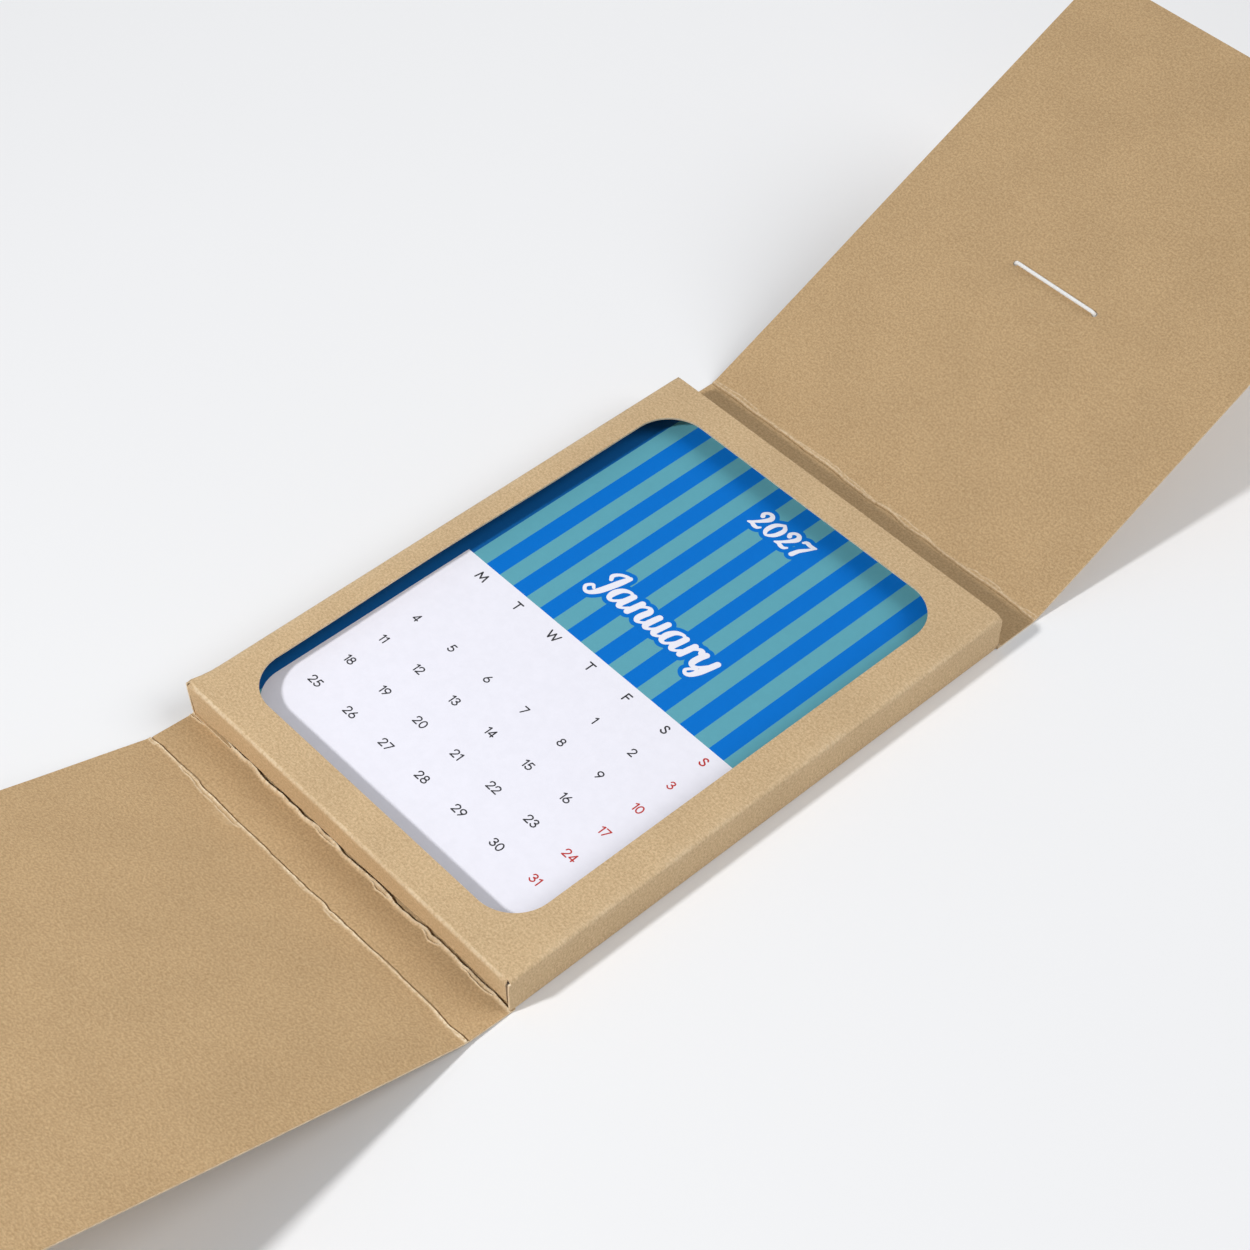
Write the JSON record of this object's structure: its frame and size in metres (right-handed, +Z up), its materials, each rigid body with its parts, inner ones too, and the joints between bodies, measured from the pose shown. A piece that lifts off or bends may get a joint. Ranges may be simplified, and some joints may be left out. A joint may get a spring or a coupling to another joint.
{
  "type": "desk calendar",
  "caption": "Flat kraft card case with a round-cornered window over a stack of month cards, two hinged covers and an elastic strap.",
  "frame": {"origin": "middle of the sleeve's underside, on the desk", "axes": "+Z up out of the window, +Y towards the top of the calendar, where the sleeve is open"},
  "size_m": [0.112, 0.4648, 0.0631],
  "materials": {
    "kraft_board": "matte",
    "printed_card": "matte",
    "white_elastic": "matte"
  },
  "bodies": {
    "case": {"sleeve": "kraft_board", "month_card_01": "printed_card", "month_card_02": "printed_card", "month_card_03": "printed_card", "month_card_04": "printed_card", "month_card_05": "printed_card", "month_card_06": "printed_card", "month_card_07": "printed_card", "month_card_08": "printed_card", "month_card_09": "printed_card", "month_card_10": "printed_card", "month_card_11": "printed_card", "month_card_12": "printed_card"},
    "top_spine": {"top_spine": "kraft_board"},
    "top_cover": {"top_cover": "kraft_board", "elastic_strap": "white_elastic"},
    "bottom_spine": {"bottom_spine": "kraft_board"},
    "bottom_cover": {"bottom_cover": "kraft_board"}
  },
  "joints": [
    {"name": "top_spine_fold", "type": "hinge", "parent": "case", "child": "top_spine", "pos_m": [0, 0.07787, 0.00025], "axis": [1, 0, 0], "range_deg": [0, 90]},
    {"name": "top_cover_fold", "type": "hinge", "parent": "top_spine", "child": "top_cover", "pos_m": [0, 0.09107, 0.00025], "axis": [1, 0, 0], "range_deg": [-21.5, 66]},
    {"name": "bottom_spine_fold", "type": "hinge", "parent": "case", "child": "bottom_spine", "pos_m": [0, -0.07787, 0.00025], "axis": [-1, 0, 0], "range_deg": [-4, 86]},
    {"name": "bottom_cover_fold", "type": "hinge", "parent": "bottom_spine", "child": "bottom_cover", "pos_m": [0, -0.08939, 0.00106], "axis": [-1, 0, 0], "range_deg": [-15.3, 74.7]}
  ]
}
